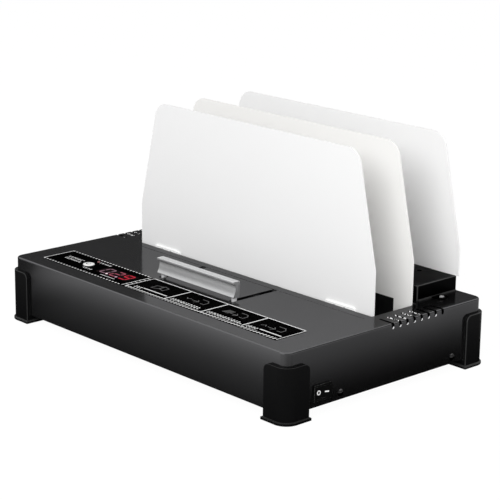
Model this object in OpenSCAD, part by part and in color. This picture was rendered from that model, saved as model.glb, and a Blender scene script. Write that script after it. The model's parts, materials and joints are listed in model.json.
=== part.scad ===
// Thermal binding machine: sheet-steel case, hand-operated sliding clamp,
// heated binding slot and a cooling rack at the rear.
// Millimetres. Origin on the floor under the centre of the case,
// +X to the right, +Y to the rear, +Z up.

/* [Case] */
// Width of the case
case_w = 400; // [380:1:440]
// Depth of the case
case_d = 256; // [249:1:290]
// Height of the case walls
case_h = 56.5; // [54:0.5:75]
// Radius of the upright corners
case_r = 9; // [6:1:16]
// Thickness of the case sheet
sheet_t = 1.2; // [1:0.1:1.5]
// Outside radius of the bend along the top edge
bend_r = 1.6; // [1.5:0.1:3]
// Height of the case's lower edge above the floor
lift = 9.5; // [8:0.5:16]

/* [Corner feet] */
// Length of a foot along each wall, from the case's sharp corner
foot_leg = 25.3; // [23:0.1:34]
// Wall of a foot outside the case
foot_wall = 3.3; // [2:0.1:4]
// Distance from the top plate down to the top of a foot
foot_drop = 13; // [8:0.5:24]
// How far the foot's base rim flares outwards
foot_flare = 1.5; // [0.5:0.1:3]
// Height of the base rim
foot_rim_h = 2.6; // [1.5:0.1:5]
// Radius of a foot's upper outer corners
foot_corner_r = 6; // [2:0.5:8]
// Diameter of the rubber pad under a foot
pad_d = 16; // [10:0.5:18]
// How far the rubber pad stands below the foot
pad_proud = 0.8; // [0.4:0.1:1.5]

/* [Vents] */
// Vent slots on each side
vent_count = 8; // [4:1:9]
// Distance from one vent slot to the next
vent_pitch = 9.55; // [6:0.05:11]
// Width of a vent slot
vent_w = 3.2; // [1.5:0.1:4]
// Length of a vent slot on the top plate
vent_in = 17; // [9:0.5:18]
// Length of a vent slot down the side wall
vent_down = 5.2; // [3:0.1:12]
// Centre of the first vent slot behind the binding opening's front edge
vent_start = 0.5; // [-6:0.5:6]
// Cooling slots in the base plate
base_vent_count = 14; // [6:1:18]
// Distance from one base slot to the next
base_vent_pitch = 15; // [10:1:16]
// Length of a base slot
base_vent_l = 44; // [20:1:60]
// Width of a base slot
base_vent_w = 4; // [2:0.5:6]
// Distance of the base slots behind the case's front face
base_vent_front = 42.5; // [36:0.5:60]

/* [Boards] */
// Difference between the case's half width and the boards' half width
board_side = 33; // [30:0.5:40]
// How far each side of a board slopes in towards the top
board_taper = 25; // [10:0.5:30]
// Thickness of a board
board_t = 1.5; // [1:0.1:2]
// Height of a board's top edge above the top plate
board_rise = 150.7; // [120:1:180]
// Height of the upright part of a board's sides
board_straight = 42; // [20:1:80]
// Radius of a board's upper corners
board_r = 17; // [8:1:24]
// Width of the legs that hold the middle and rear boards
leg_w = 22.5; // [18:0.5:34]
// Gap between the top plate and the middle board's lower edge
middle_gap = 1; // [0.5:0.5:4]
// Sideways offset of the clamp and boards from the case's centre
mech_x = 5; // [0:0.5:9]
// Travel of the clamp
clamp_travel = 48; // [36:0.5:50]
// Gap between the front and middle boards, closed
jaw_closed = 1.5; // [1.2:0.1:4]

/* [Binding opening] */
// Room between the boards' ends and the opening
open_side = 2; // [1.5:0.5:4]
// Room in front of the front board
open_front = 4; // [3:0.5:5]
// Room behind the middle board
open_rear = 4.5; // [4:0.5:5]
// Sheet left between the handle slots and the opening
slot_land = 8.9; // [8.4:0.1:14]
// Distance of the crease in the top plate before the opening
crease_front = 9.6; // [9:0.1:11]
// Width of that crease
crease_w = 0.7; // [0.4:0.1:1]

/* [Clamp] */
// Length of the handle
handle_l = 111; // [96:1:140]
// Depth of the handle
handle_d = 8; // [7.5:0.5:12]
// Height of the handle
handle_h = 15.6; // [12:0.1:22]
// Depth of the finger scoop in the handle's front
scoop_depth = 3; // [1.5:0.1:3.2]
// Radius under the scoop's lip
scoop_r = 2.4; // [1:0.1:3]
// Thickness of the handle's upper lip
lip_t = 2; // [1.5:0.1:4]
// How far the handle's centre stands before its posts
handle_fore = 0.8; // [0:0.1:1]
// Gap between the handle and the top plate
handle_gap = 3.7; // [2:0.1:8]
// Distance of a handle post from the handle's end
post_in = 4.25; // [4:0.25:8]
// Diameter of a handle post
post_d = 5.2; // [4.6:0.1:7]
// Distance of the posts behind the control overlay, clamp open
post_back = 12; // [10:0.5:18]
// Spare length at each end of a handle slot
slot_spare = 3; // [2:0.5:4]
// Side clearance of a post in its slot
slot_side = 0.35; // [0.2:0.05:0.6]
// Thickness of the clamp carriage
carriage_t = 2; // [1.5:0.1:3]
// Gap between the carriage and the underside of the top plate
carriage_gap = 4; // [3:0.5:6]
// Depth of the carriage's cross bar
bar_d = 16; // [14:0.5:16]
// Distance of an arm's centre from the boards' end
arm_in = 42; // [30:0.5:70]
// Width of an arm
arm_w = 26; // [16:1:30]
// Width of the board bracket at an arm's end
angle_w = 38; // [30:1:44]
// Thickness of a board bracket
angle_t = 1.8; // [1.2:0.1:2]
// Height of a board bracket above the top plate
angle_rise = 1.2; // [0.8:0.1:5]
// Length of the bracket's flange under its arm
angle_leg = 16; // [12:0.5:24]
// Depth of the front board's lower edge under the top plate
front_drop = 8; // [7:0.5:12]
// Diameter of a guide rod
rod_d = 6; // [5:0.5:7]
// Distance of a guide rod inwards from a handle post
rod_in = 19.75; // [14:0.25:26]
// Radial running clearance of a bush on its rod
rod_fit = 0.05; // [0.02:0.01:0.1]
// Width and height of a bush block
bush_w = 13; // [11:0.5:15]
// Thickness of a rod bracket
bracket_t = 3; // [2:0.5:3]

/* [Heater] */
// Height of the ceramic spacers under the heater tray
spacer_h = 13.3; // [12:0.1:18]
// Thickness of the heater plate
heater_t = 4; // [3:0.5:6]
// Thickness of a heating element
element_t = 2.5; // [1.5:0.5:4]
// Width of a heating element
element_w = 18; // [10:1:22]
// Thickness of the insulation pad
pad_t = 3; // [2:0.5:5]
// Room between the heater and the tray walls
heater_room = 3; // [2:0.5:4]
// Depth of the tray's front wall under the top plate
tray_front_drop = 16; // [14:0.5:24]
// Diameter of a ceramic spacer under the tray
spacer_d = 10; // [8:0.5:14]

/* [Rear housing] */
// How far each end of the rear housing is set in from the boards' end
housing_side = 3.5; // [3:0.5:12]
// Distance of the housing's front behind the binding opening
housing_gap = 5.7; // [4:0.1:8]
// Height of the rear housing above the top plate
housing_h = 15.2; // [10:0.1:24]
// Distance of the housing's rear face from the case's rear face
housing_inset = 2; // [0.5:0.5:3]
// Upright corner radius of the housing
housing_r = 1.8; // [1.8:0.1:6]
// Length of the fixing lug at each end of the housing
lug_l = 13.5; // [10:0.5:14]

/* [Control strip] */
// Distance of the control overlay's left end from the case's left side
overlay_left = 24.5; // [16:0.5:30]
// Distance of its right end from the case's right side
overlay_right = 33.5; // [16:0.5:60]
// Depth of the control overlay
overlay_d = 38; // [34:0.5:40]
// Thickness of the control overlay
overlay_t = 0.4; // [0.2:0.1:1]
// Distance of the overlay's front edge behind the case's front face
overlay_front = 19; // [18:0.5:24]
// Width of the display window
window_w = 48; // [36:0.5:50]
// Depth of the display window
window_d = 18; // [14:0.5:20]
// Centre of the display right of the overlay's left end
window_left = 95.5; // [92:0.5:104]
// Thickness of the display lens
lens_t = 1.6; // [1:0.1:2]
// Diameter of the start button
button_d = 11.5; // [9:0.5:14]
// Centre of the start button right of the overlay's left end
button_left = 49.8; // [40:0.1:52]
// Height of the start button above the overlay
button_rise = 1.1; // [0.9:0.1:2]
// Travel of the start button
button_travel = 0.8; // [0.4:0.1:0.9]
// Radial clearance of the start button
button_fit = 0.3; // [0.2:0.05:0.5]
// Diameter of the indicator lamp
led_d = 3; // [2:0.5:5]
// Distance of the indicator lamp behind the overlay's centre line
led_y = 12.5; // [11:0.5:13]
// Depth of the control circuit board under the top plate
pcb_drop = 9; // [8:0.5:10]

/* [Power switch] */
// Length of the rocker switch's bezel
bezel_l = 21.5; // [20:0.5:24]
// Height of the bezel
bezel_h = 15; // [14:0.5:17]
// How far the bezel stands off the wall
bezel_t = 1.8; // [1.2:0.1:2.5]
// Width of the bezel's rim beyond the switch body
bezel_rim = 1.1; // [0.8:0.1:1.3]
// Centre of the switch behind the case's front face
switch_in = 43.3; // [40:0.1:50]
// Centre of the switch above the case's lower edge
switch_up = 13; // [11:0.5:20]
// Half of the rocker's swing
rocker_tilt = 11; // [6:1:12]

/* [Power inlet] */
// Width of the inlet's flange
inlet_w = 31; // [30:0.5:36]
// Height of the inlet's flange
inlet_h = 24; // [23:0.5:28]
// Centre of the inlet from the case's right side
inlet_right = 90; // [60:1:140]
// Centre of the inlet above the case's lower edge
inlet_up = 27.5; // [20:0.5:34]

/* [Fasteners] */
// Diameter of the machine screws
screw_d = 3; // [2.5:0.1:3.4]
// Diameter of a screw head
head_d = 6.6; // [5.6:0.1:7.6]
// Height of a screw head
head_h = 2.1; // [1.4:0.1:2.6]
// Height of the side screws above the case's lower edge
side_screw_up = 6.5; // [6:0.5:14]
// Distance of the front side screw behind the case's front face
side_screw_front = 66.5; // [62:0.5:76]
// Distance of the rear side screw before the case's rear face
side_screw_rear = 41.5; // [37:0.5:60]

/* [Hidden] */
$fn = 64;

// A hair of extra depth that lets a cut run clear of a face
cut = 1;
// Clearance between pieces that are screwed or slipped together
fit = 0.1;
// Clearance hole of a machine screw
clear_d = screw_d + 2 * fit;
// Room left past the tip of a screw in a blind hole
tip_room = 0.5;
// Low-head screws where little room is left
low_head_d = 5.2;
low_head_h = 1;
// Shares of a screw head's size: radius of its crown, its cross slot and where the slot ends
crown_share = 0.62;
slot_l_share = 0.55;
slot_w_share = 0.14;
slot_floor_share = 0.45;

// Levels
top_z = lift + case_h;
under_z = top_z - sheet_t;
floor_z = lift + sheet_t;
half_w = case_w / 2;
half_d = case_d / 2;

// Control strip, from the case's front face
overlay_w = case_w - overlay_left - overlay_right;
overlay_x = (overlay_right - overlay_left) / 2;
overlay_y = half_d - overlay_front - overlay_d / 2;
window_x = half_w - overlay_left - window_left;
button_x = half_w - overlay_left - button_left;

// Handle posts and their slots, behind the overlay
post_y = overlay_y - overlay_d / 2 - post_back;
post_pitch = handle_l - 2 * post_in;
slot_w = post_d + 2 * slot_side;
slot_l = clamp_travel + post_d + 2 * slot_spare;
slot_y0 = -post_y - post_d / 2 - slot_spare;

// Binding opening and board planes, each the front face, behind the slots
board_w = case_w - 2 * board_side;
board_top_w = board_w - 2 * board_taper;
jaw_gap = clamp_travel + jaw_closed;
open_w = board_w + 2 * open_side;
open_y0 = slot_y0 + slot_l + slot_land;
front_y = open_y0 + open_front;
middle_y = front_y + board_t + jaw_gap;
open_y1 = middle_y + board_t + open_rear;
vent_y = open_y0 + vent_start;
open_d = open_y1 - open_y0;
tray_front_y = open_y0 - sheet_t;
open_r = 2;
crease_deep = 0.3;

// Clamp
handle_z = top_z + handle_gap;
arm_pitch = board_w - 2 * arm_in;
rod_pitch = post_pitch - 2 * rod_in;
carriage_z1 = under_z - carriage_gap;
carriage_z0 = carriage_z1 - carriage_t;
arm_end_y = front_y - angle_t;
angle_z0 = carriage_z0 - angle_t;
angle_h = top_z + angle_rise - angle_z0;
angle_r = 1;
angle_screw_y = front_y - (angle_leg + angle_t) / 2;
board_screw_z = carriage_z1 + low_head_d / 2 + fit;
board_screw_x = arm_w / 4;
handle_screw_deep = 6;
bush_z0 = carriage_z0 - bush_w;
rod_z = carriage_z0 - bush_w / 2;
rod_room = 2.5;
rod_y0 = -post_y - bar_d / 2 - rod_room - bracket_t;
rod_tray_gap = 0.8;
rod_y1 = tray_front_y - rod_tray_gap;
bracket_side = 1;
bracket_w = bush_w + 2 * bracket_side;
bracket_foot = 12;

// Heater stack, from the base plate up
tray_z0 = floor_z + spacer_h;
insulation_z0 = tray_z0 + sheet_t;
element_z0 = insulation_z0 + pad_t;
heater_z0 = element_z0 + element_t;
heater_z1 = heater_z0 + heater_t;
heater_w = open_w - 2 * heater_room;
heater_d = open_d - 2 * heater_room;
heater_y = (open_y0 + open_y1) / 2;
spacer_x = heater_w / 2 - spacer_d;
spacer_y = heater_d / 2 - spacer_d;
thermostat_in = 46;
thermal_fuse_in = 40;

// Legs of the middle and rear boards
leg_x = board_w / 2 - leg_w / 2;
leg_over_heater = 4;
leg_end_z = heater_z1 + leg_over_heater;
leg_screw_drop = [9, 18];
leg_spacer_d = 7;
rear_leg_end = 3;
rear_leg_in = 12;
rear_leg_x = leg_x - rear_leg_in;

// Rear housing and rear board, from the case's rear face
housing_rear_y = half_d - housing_inset;
rear_y = housing_rear_y - sheet_t - board_t - fit;
housing_w = board_w - 2 * housing_side;
housing_y = open_y1 + housing_gap;
housing_d = housing_rear_y - housing_y;
housing_mid_y = (housing_y + housing_rear_y) / 2;
housing_lug_w = 12;
housing_lug_in = 30.5;
housing_lug_y = housing_rear_y - housing_lug_in;
housing_screw_grip = 3;
housing_screw_l = 2 * sheet_t + housing_screw_grip;
access_d = 5;
access_in = 34;
access_rear = 16;
access_y = housing_rear_y - access_rear;

// Control strip
window_y = overlay_y;
window_r = 1;
overlay_r = 1.2;
pcb_z1 = under_z - pcb_drop;
pcb_t = 1.6;
pcb_left = 22;
pcb_right = 8;
pcb_front = 5;
pcb_rear = 1;
pcb_x0 = -button_x - pcb_left;
pcb_x1 = -window_x + window_w / 2 + pcb_right;
pcb_y0 = -overlay_y - overlay_d / 2 - pcb_front;
pcb_y1 = rod_y0 - pcb_rear;
standoff_d = 5.5;
standoff_in = 3.5;
lens_z1 = top_z + overlay_t;
lens_z0 = lens_z1 - lens_t;
tact_h = 4;
tact_w = 6.2;
button_flange = 1.5;
button_flange_t = 1;
button_stem_d = 3;
button_stem_seat = 1;

// Power switch
switch_y = half_d - switch_in;
bezel_z = lift + switch_up;
body_l = bezel_l - 2 * bezel_rim;
body_h = bezel_h - 2 * bezel_rim;
body_deep = 15;
bezel_r = 1.2;
rocker_gap = 0.3;
rocker_room = 8;
rocker_wall = 0.8;
rocker_reach = body_l / 2 - rocker_wall - rocker_gap;
rocker_high = body_h - 2 * rocker_wall - 2 * rocker_gap;
rocker_lip = 3;
pivot_x = half_w + bezel_t - rocker_lip;
pivot_pin_d = 2.4;

// Power inlet
inlet_x = half_w - inlet_right;
inlet_z = lift + inlet_up;
inlet_rim = 2;
inlet_r = 2.5;
inlet_deep = 18;
inlet_body_w = inlet_w - 2 * inlet_rim;
inlet_body_h = inlet_h - 2 * inlet_rim;
inlet_body_r = 2;
recess_wall = 1.6;
recess_deep = 15;
recess_r = 1.5;
pin_inside = 2.5;
pin_w = 2;
pin_h = 4;
pin_pitch = 7;
pin_rise = 2;

// Side screws
side_screw_y = [side_screw_front - half_d, half_d - side_screw_rear];
side_screw_z = lift + side_screw_up;
side_screw_l = 6;

// Feet
foot_z1 = top_z - foot_drop;
pad_sink = 2;
pad_in = 11;
foot_screw_in = 15;
foot_screw_deep = 5;

// Power board
power_w = 112;
power_left = 49;
power_room = 10;
power_x = power_left + power_w / 2 - half_w;
power_y = (open_y1 + half_d) / 2;
power_d = half_d - open_y1 - 2 * power_room;
power_post_h = 5.5;
power_z = floor_z + power_post_h;
transformer_in = 24;
relay_in = 32;

module rounded_rect(w, d, r) {
    square([w - 2 * r, d], center = true);
    square([w, d - 2 * r], center = true);
    for (x = [-1, 1], y = [-1, 1])
        translate([x * (w / 2 - r), y * (d / 2 - r)]) circle(r);
}

// Section of a bent edge: r out from the corner's centre, h high, bend radius b
module bent_section(r, h, b) {
    square([r, h - b]);
    square([r - b, h]);
    translate([r - b, h - b]) intersection() {
        circle(b);
        square(b);
    }
}

// Closed box with round upright corners and a bend along its top edge
module bent_box(w, d, h, r, b) {
    x = w / 2 - r;
    y = d / 2 - r;
    translate([-x, -y, 0]) cube([2 * x, 2 * y, h]);
    for (a = [0, 180]) rotate([0, 0, a]) {
        translate([-x, y, 0]) rotate([90, 0, 90]) linear_extrude(2 * x) bent_section(r, h, b);
        translate([x, y, 0]) rotate([90, 0, 0]) linear_extrude(2 * y) bent_section(r, h, b);
        translate([x, y, 0]) rotate_extrude(angle = 90) bent_section(r, h, b);
        translate([-x, y, 0]) rotate([0, 0, 90]) rotate_extrude(angle = 90) bent_section(r, h, b);
    }
}

// Slot outline along Y, starting at the origin
module slot_outline(l, w) {
    translate([-w / 2, w / 2]) square([w, l - w]);
    for (y = [w / 2, l - w / 2]) translate([0, y]) circle(d = w);
}

// Pan-head screw standing head up, its seat at the origin
module pan_screw(l, d = screw_d, hd = head_d, hh = head_h) {
    dome = hd * crown_share;
    recess = [hd * slot_l_share, hd * slot_w_share, hh];
    translate([0, 0, -l]) cylinder(d = d, h = l + hh / 3);
    difference() {
        intersection() {
            cylinder(d = hd, h = hh);
            translate([0, 0, hh - dome]) sphere(dome);
        }
        for (a = [0, 90]) rotate([0, 0, a])
            translate([-recess.x / 2, -recess.y / 2, hh * slot_floor_share]) cube(recess);
    }
}

module hole(d, l) {
    cylinder(d = d, h = l);
}

module at_corners(x, y) {
    for (sx = [-1, 1], sy = [-1, 1]) translate([sx * x, sy * y, 0]) children();
}

// Turned so that the seat faces out of the right or left wall
module on_side_wall(side, y, z) {
    translate([side * half_w, y, z]) rotate([0, side * 90, 0]) children();
}

module at_side_screws() {
    for (side = [-1, 1], y = side_screw_y) on_side_wall(side, y, side_screw_z) children();
}

// Case and base

module vent_cut(side, y) {
    translate([side * (half_w - vent_in + vent_w / 2), y, under_z - cut])
        linear_extrude(sheet_t + 2 * cut) {
            circle(d = vent_w);
            mirror([side > 0 ? 0 : 1, 0]) translate([0, -vent_w / 2]) square([vent_in, vent_w]);
        }
    translate([side * (half_w - sheet_t / 2) - sheet_t / 2 - cut, y, top_z - vent_down])
        rotate([90, 0, 90]) linear_extrude(sheet_t + 2 * cut) {
            translate([0, vent_w / 2]) circle(d = vent_w);
            translate([-vent_w / 2, vent_w / 2]) square([vent_w, vent_down]);
        }
}

module upper_case() {
    color("#17181a") difference() {
        translate([0, 0, lift]) bent_box(case_w, case_d, case_h, case_r, bend_r);
        translate([0, 0, lift - cut]) linear_extrude(case_h - sheet_t + cut)
            rounded_rect(case_w - 2 * sheet_t, case_d - 2 * sheet_t, case_r - sheet_t);
        translate([mech_x, heater_y, under_z - cut]) linear_extrude(sheet_t + 2 * cut)
            rounded_rect(open_w, open_d, open_r);
        for (s = [-1, 1])
            translate([mech_x + s * post_pitch / 2, slot_y0, under_z - cut])
                linear_extrude(sheet_t + 2 * cut) slot_outline(slot_l, slot_w);
        translate([mech_x - open_w / 2, open_y0 - crease_front - crease_w / 2, top_z - crease_deep])
            cube([open_w, crease_w, crease_deep + cut]);
        for (side = [-1, 1], i = [0 : vent_count - 1]) vent_cut(side, vent_y + i * vent_pitch);
        translate([0, 0, under_z - cut]) control_cuts(sheet_t + 2 * cut);
        translate([half_w - sheet_t - cut, -switch_y - body_l / 2 - fit, bezel_z - body_h / 2 - fit])
            cube([sheet_t + 2 * cut, body_l + 2 * fit, body_h + 2 * fit]);
        translate([inlet_x, half_d + cut, inlet_z]) rotate([90, 0, 0])
            linear_extrude(sheet_t + 2 * cut)
                rounded_rect(inlet_body_w + 2 * fit, inlet_body_h + 2 * fit, inlet_body_r + fit);
        at_side_screws() translate([0, 0, -sheet_t - cut]) hole(clear_d, sheet_t + 2 * cut);
        at_housing_screws() translate([0, 0, -sheet_t - cut]) hole(clear_d, sheet_t + 2 * cut);
    }
}

// Bottom closing plate with a screw tab behind each side screw
module base_plate() {
    tab_w = 20;
    tab_over = 7;
    tab_h = side_screw_up + tab_over;
    plate_w = case_w - 2 * sheet_t - 2 * fit;
    vent_x0 = -(base_vent_count - 1) * base_vent_pitch / 2;
    color("#26272a") difference() {
        union() {
            translate([0, 0, lift]) linear_extrude(sheet_t)
                rounded_rect(plate_w, case_d - 2 * sheet_t - 2 * fit, case_r - sheet_t - fit);
            for (side = [-1, 1], y = side_screw_y)
                translate([side * (plate_w - sheet_t) / 2 - sheet_t / 2, y - tab_w / 2, lift])
                    cube([sheet_t, tab_w, tab_h]);
        }
        at_side_screws() translate([0, 0, -3 * sheet_t]) hole(clear_d, 3 * sheet_t);
        translate([0, 0, lift - cut]) {
            at_corners(half_w - foot_screw_in, half_d - foot_screw_in) hole(clear_d, sheet_t + 2 * cut);
            translate([mech_x, heater_y, 0]) at_corners(spacer_x, spacer_y)
                hole(clear_d, sheet_t + 2 * cut);
            for (i = [0 : base_vent_count - 1])
                translate([vent_x0 + i * base_vent_pitch, base_vent_front - half_d, 0])
                    linear_extrude(sheet_t + 2 * cut) slot_outline(base_vent_l, base_vent_w);
        }
    }
}

module case_screws() {
    color("#1a1a1b") at_side_screws() pan_screw(side_screw_l);
}

// Corner feet

// Part of the case's outline, grown by g, that one foot covers
module foot_plan(g, leg) {
    intersection() {
        rounded_rect(case_w + 2 * g, case_d + 2 * g, case_r + g);
        translate([half_w - leg, half_d - leg]) square(leg + g + cut);
    }
}

// Takes the sharp upper corner off the end of a foot's leg
module leg_corner() {
    r = foot_corner_r;
    reach = foot_wall + foot_flare + cut;
    translate([0, 0, -reach]) linear_extrude(2 * reach) difference() {
        translate([-cut, 0]) square([r + cut, r + cut]);
        translate([r, 0]) circle(r);
    }
}

module corner_foot(sx, sy) {
    mirror([sx < 0 ? 1 : 0, 0, 0]) mirror([0, sy < 0 ? 1 : 0, 0]) color("#1b1c1e") difference() {
        union() {
            translate([0, 0, pad_proud]) linear_extrude(foot_z1 - pad_proud) foot_plan(foot_wall, foot_leg);
            translate([0, 0, pad_proud]) linear_extrude(foot_rim_h)
                foot_plan(foot_wall + foot_flare, foot_leg + foot_flare);
        }
        translate([0, 0, lift]) linear_extrude(foot_z1)
            rounded_rect(case_w + 2 * fit, case_d + 2 * fit, case_r + fit);
        translate([half_w - foot_leg, half_d, foot_z1 - foot_corner_r]) rotate([90, 0, 0]) leg_corner();
        translate([half_w, half_d - foot_leg, foot_z1 - foot_corner_r]) rotate([90, 0, 90]) leg_corner();
        translate([half_w - pad_in, half_d - pad_in, 0]) hole(pad_d + 2 * fit, pad_proud + pad_sink);
        translate([half_w - foot_screw_in, half_d - foot_screw_in, lift - foot_screw_deep])
            hole(clear_d, foot_screw_deep + cut);
    }
}

module foot_front_left() { corner_foot(-1, -1); }
module foot_front_right() { corner_foot(1, -1); }
module foot_rear_left() { corner_foot(-1, 1); }
module foot_rear_right() { corner_foot(1, 1); }

module foot_pads() {
    color("#101011") at_corners(half_w - pad_in, half_d - pad_in) hole(pad_d, pad_proud + pad_sink);
}

module foot_screws() {
    color("#8f9296") translate([0, 0, floor_z])
        at_corners(half_w - foot_screw_in, half_d - foot_screw_in)
            pan_screw(sheet_t + foot_screw_deep - tip_room);
}

// Control strip

module control_cuts(l) {
    translate([-window_x, -window_y, 0]) linear_extrude(l)
        rounded_rect(window_w + 2 * fit, window_d + 2 * fit, window_r + fit);
    translate([-button_x, -overlay_y, 0]) hole(button_d + 2 * button_fit, l);
    translate([-button_x, -overlay_y + led_y, 0]) hole(led_d + 2 * fit, l);
}

module control_overlay() {
    color("#050506") difference() {
        translate([-overlay_x, -overlay_y, top_z]) linear_extrude(overlay_t)
            rounded_rect(overlay_w, overlay_d, overlay_r);
        translate([0, 0, top_z - cut]) control_cuts(overlay_t + 2 * cut);
    }
}

module display_lens() {
    color("#2a0508") translate([-window_x, -window_y, lens_z0]) linear_extrude(lens_t)
        rounded_rect(window_w, window_d, window_r);
}

module display_module() {
    frame_in = 1.2;
    color("#1c1c1d") translate([-window_x, -window_y, pcb_z1]) linear_extrude(lens_z0 - pcb_z1)
        rounded_rect(window_w - 2 * frame_in, window_d - 2 * frame_in, window_r);
}

module indicator_led() {
    collar_d = led_d + 0.8;
    collar_h = 1.2;
    dome_h = 0.6;
    color("#d2202a") translate([-button_x, -overlay_y + led_y, pcb_z1]) {
        cylinder(d = collar_d, h = collar_h);
        cylinder(d = led_d, h = lens_z1 - pcb_z1);
        translate([0, 0, lens_z1 - pcb_z1]) intersection() {
            sphere(d = led_d);
            cylinder(d = led_d, h = dome_h);
        }
    }
}

module start_button() {
    cap_z1 = top_z + overlay_t + button_rise;
    flange_z1 = under_z - fit;
    flange_z0 = flange_z1 - button_flange_t;
    stem_z0 = pcb_z1 + tact_h - button_stem_seat;
    color("#f2f2f0") translate([-button_x, -overlay_y, 0]) {
        translate([0, 0, flange_z0]) {
            cylinder(d = button_d, h = cap_z1 - flange_z0);
            cylinder(d = button_d + 2 * button_flange, h = button_flange_t);
        }
        translate([0, 0, stem_z0]) cylinder(d = button_stem_d, h = flange_z1 - stem_z0);
    }
}

// Key switch with a well that takes the button's stem over its whole travel
module tact_switch() {
    well = button_stem_seat + button_travel + button_fit;
    color("#2b2b2c") translate([-button_x, -overlay_y, pcb_z1]) difference() {
        translate([-tact_w / 2, -tact_w / 2, 0]) cube([tact_w, tact_w, tact_h]);
        translate([0, 0, tact_h - well]) hole(button_stem_d + 2 * button_fit, well + cut);
    }
}

module control_pcb() {
    color("#1f5a35") translate([pcb_x0, pcb_y0, pcb_z1 - pcb_t])
        cube([pcb_x1 - pcb_x0, pcb_y1 - pcb_y0, pcb_t]);
}

module pcb_standoffs() {
    xs = [pcb_x0 + standoff_in, pcb_x1 - standoff_in];
    ys = [pcb_y0 + standoff_in, pcb_y1 - standoff_in];
    color("#b9bbbe") for (x = xs, y = ys)
        translate([x, y, pcb_z1]) cylinder(d = standoff_d, h = under_z - pcb_z1);
}

module buzzer() {
    buzzer_d = 12;
    buzzer_h = 9.5;
    port_d = 2;
    color("#141415") translate([-window_x, -overlay_y, pcb_z1 - pcb_t - buzzer_h]) difference() {
        cylinder(d = buzzer_d, h = buzzer_h);
        translate([0, 0, -cut]) hole(port_d, port_d + cut);
    }
}

// Power switch and inlet

module switch_housing() {
    cavity_l = body_l - 2 * rocker_wall;
    cavity_h = body_h - 2 * rocker_wall;
    cavity_deep = bezel_t + rocker_room;
    color("#131314") translate([half_w, -switch_y, bezel_z]) difference() {
        union() {
            rotate([90, 0, 90]) linear_extrude(bezel_t) rounded_rect(bezel_l, bezel_h, bezel_r);
            translate([-body_deep, -body_l / 2, -body_h / 2]) cube([body_deep, body_l, body_h]);
        }
        translate([bezel_t - cavity_deep, -cavity_l / 2, -cavity_h / 2])
            cube([cavity_deep + cut, cavity_l, cavity_h]);
        translate([pivot_x - half_w, 0, -body_h]) hole(pivot_pin_d + 2 * rod_fit, 2 * body_h);
    }
}

// Rocker with a shallow valley across its face, its front end pressed in (off)
module rocker_paddle() {
    end_rise = rocker_lip + 0.8;
    valley = rocker_lip - 0.4;
    underside = 2.5;
    color("#0b0b0c") translate([pivot_x, -switch_y, bezel_z]) rotate([0, 0, -rocker_tilt]) {
        translate([0, 0, -rocker_high / 2]) linear_extrude(rocker_high) intersection() {
            circle(rocker_reach);
            polygon([
                [-underside, -rocker_reach], [end_rise, -rocker_reach], [valley, 0],
                [end_rise, rocker_reach], [-underside, rocker_reach]
            ]);
        }
        translate([0, 0, -body_h / 2 + fit]) cylinder(d = pivot_pin_d, h = body_h - 2 * fit);
    }
}

module power_inlet() {
    color("#151516") translate([inlet_x, half_d, inlet_z]) rotate([-90, 0, 0]) difference() {
        union() {
            linear_extrude(inlet_rim) rounded_rect(inlet_w, inlet_h, inlet_r);
            translate([0, 0, -inlet_deep]) linear_extrude(inlet_deep)
                rounded_rect(inlet_body_w, inlet_body_h, inlet_body_r);
        }
        translate([0, 0, inlet_rim - recess_deep]) linear_extrude(recess_deep + cut)
            rounded_rect(inlet_body_w - 2 * recess_wall, inlet_body_h - 2 * recess_wall, recess_r);
    }
}

module inlet_pins() {
    pin_l = recess_deep - pin_inside;
    color("#c9a64a") translate([inlet_x, half_d + inlet_rim - recess_deep, inlet_z])
        for (p = [[-pin_pitch, -pin_rise], [pin_pitch, -pin_rise], [0, pin_rise]])
            translate([p.x - pin_w / 2, 0, p.y - pin_h / 2]) cube([pin_w, pin_l, pin_h]);
}

// Sliding clamp

module at_posts() {
    for (s = [-1, 1]) translate([mech_x + s * post_pitch / 2, -post_y, 0]) children();
}

// Section of the finger scoop from its deepest line: a tight curve under the lip, a wide one below
module scoop_section(low) {
    wide_r = (low * low + scoop_depth * scoop_depth) / (2 * scoop_depth);
    translate([-cut, 0]) square([scoop_depth - scoop_r + cut, scoop_r]);
    intersection() {
        translate([scoop_depth - scoop_r, 0]) circle(scoop_r);
        square([scoop_depth, scoop_r]);
    }
    intersection() {
        translate([scoop_depth - wide_r, 0]) circle(wide_r);
        translate([-cut, -low]) square([scoop_depth + cut, low]);
    }
}

module clamp_handle() {
    edge_r = 0.7;
    deepest = handle_h / 2 - lip_t - scoop_r;
    color("#c4c7ca") difference() {
        translate([mech_x - handle_l / 2, -post_y - handle_fore, handle_z + handle_h / 2])
            rotate([90, 0, 90]) linear_extrude(handle_l) difference() {
                rounded_rect(handle_d, handle_h, edge_r);
                translate([-handle_d / 2, deepest]) scoop_section(deepest + handle_h / 2 - edge_r);
            }
        at_posts() translate([0, 0, handle_z - cut]) hole(clear_d, handle_screw_deep + cut);
    }
}

module handle_posts() {
    color("#e3e5e7") at_posts() translate([0, 0, carriage_z1]) difference() {
        cylinder(d = post_d, h = handle_z - carriage_z1);
        translate([0, 0, -cut]) hole(clear_d, handle_z - carriage_z1 + 2 * cut);
    }
}

module handle_screws() {
    color("#8f9296") at_posts() translate([0, 0, carriage_z0]) mirror([0, 0, 1])
        pan_screw(handle_z - carriage_z0 + handle_screw_deep - tip_room);
}

module at_arms() {
    for (s = [-1, 1]) translate([mech_x + s * arm_pitch / 2, 0, 0]) children();
}

// Turned so that a screw's seat faces the front
module at_board_screws(y) {
    at_arms() for (s = [-1, 1])
        translate([s * board_screw_x, y, board_screw_z]) rotate([90, 0, 0]) children();
}

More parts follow.
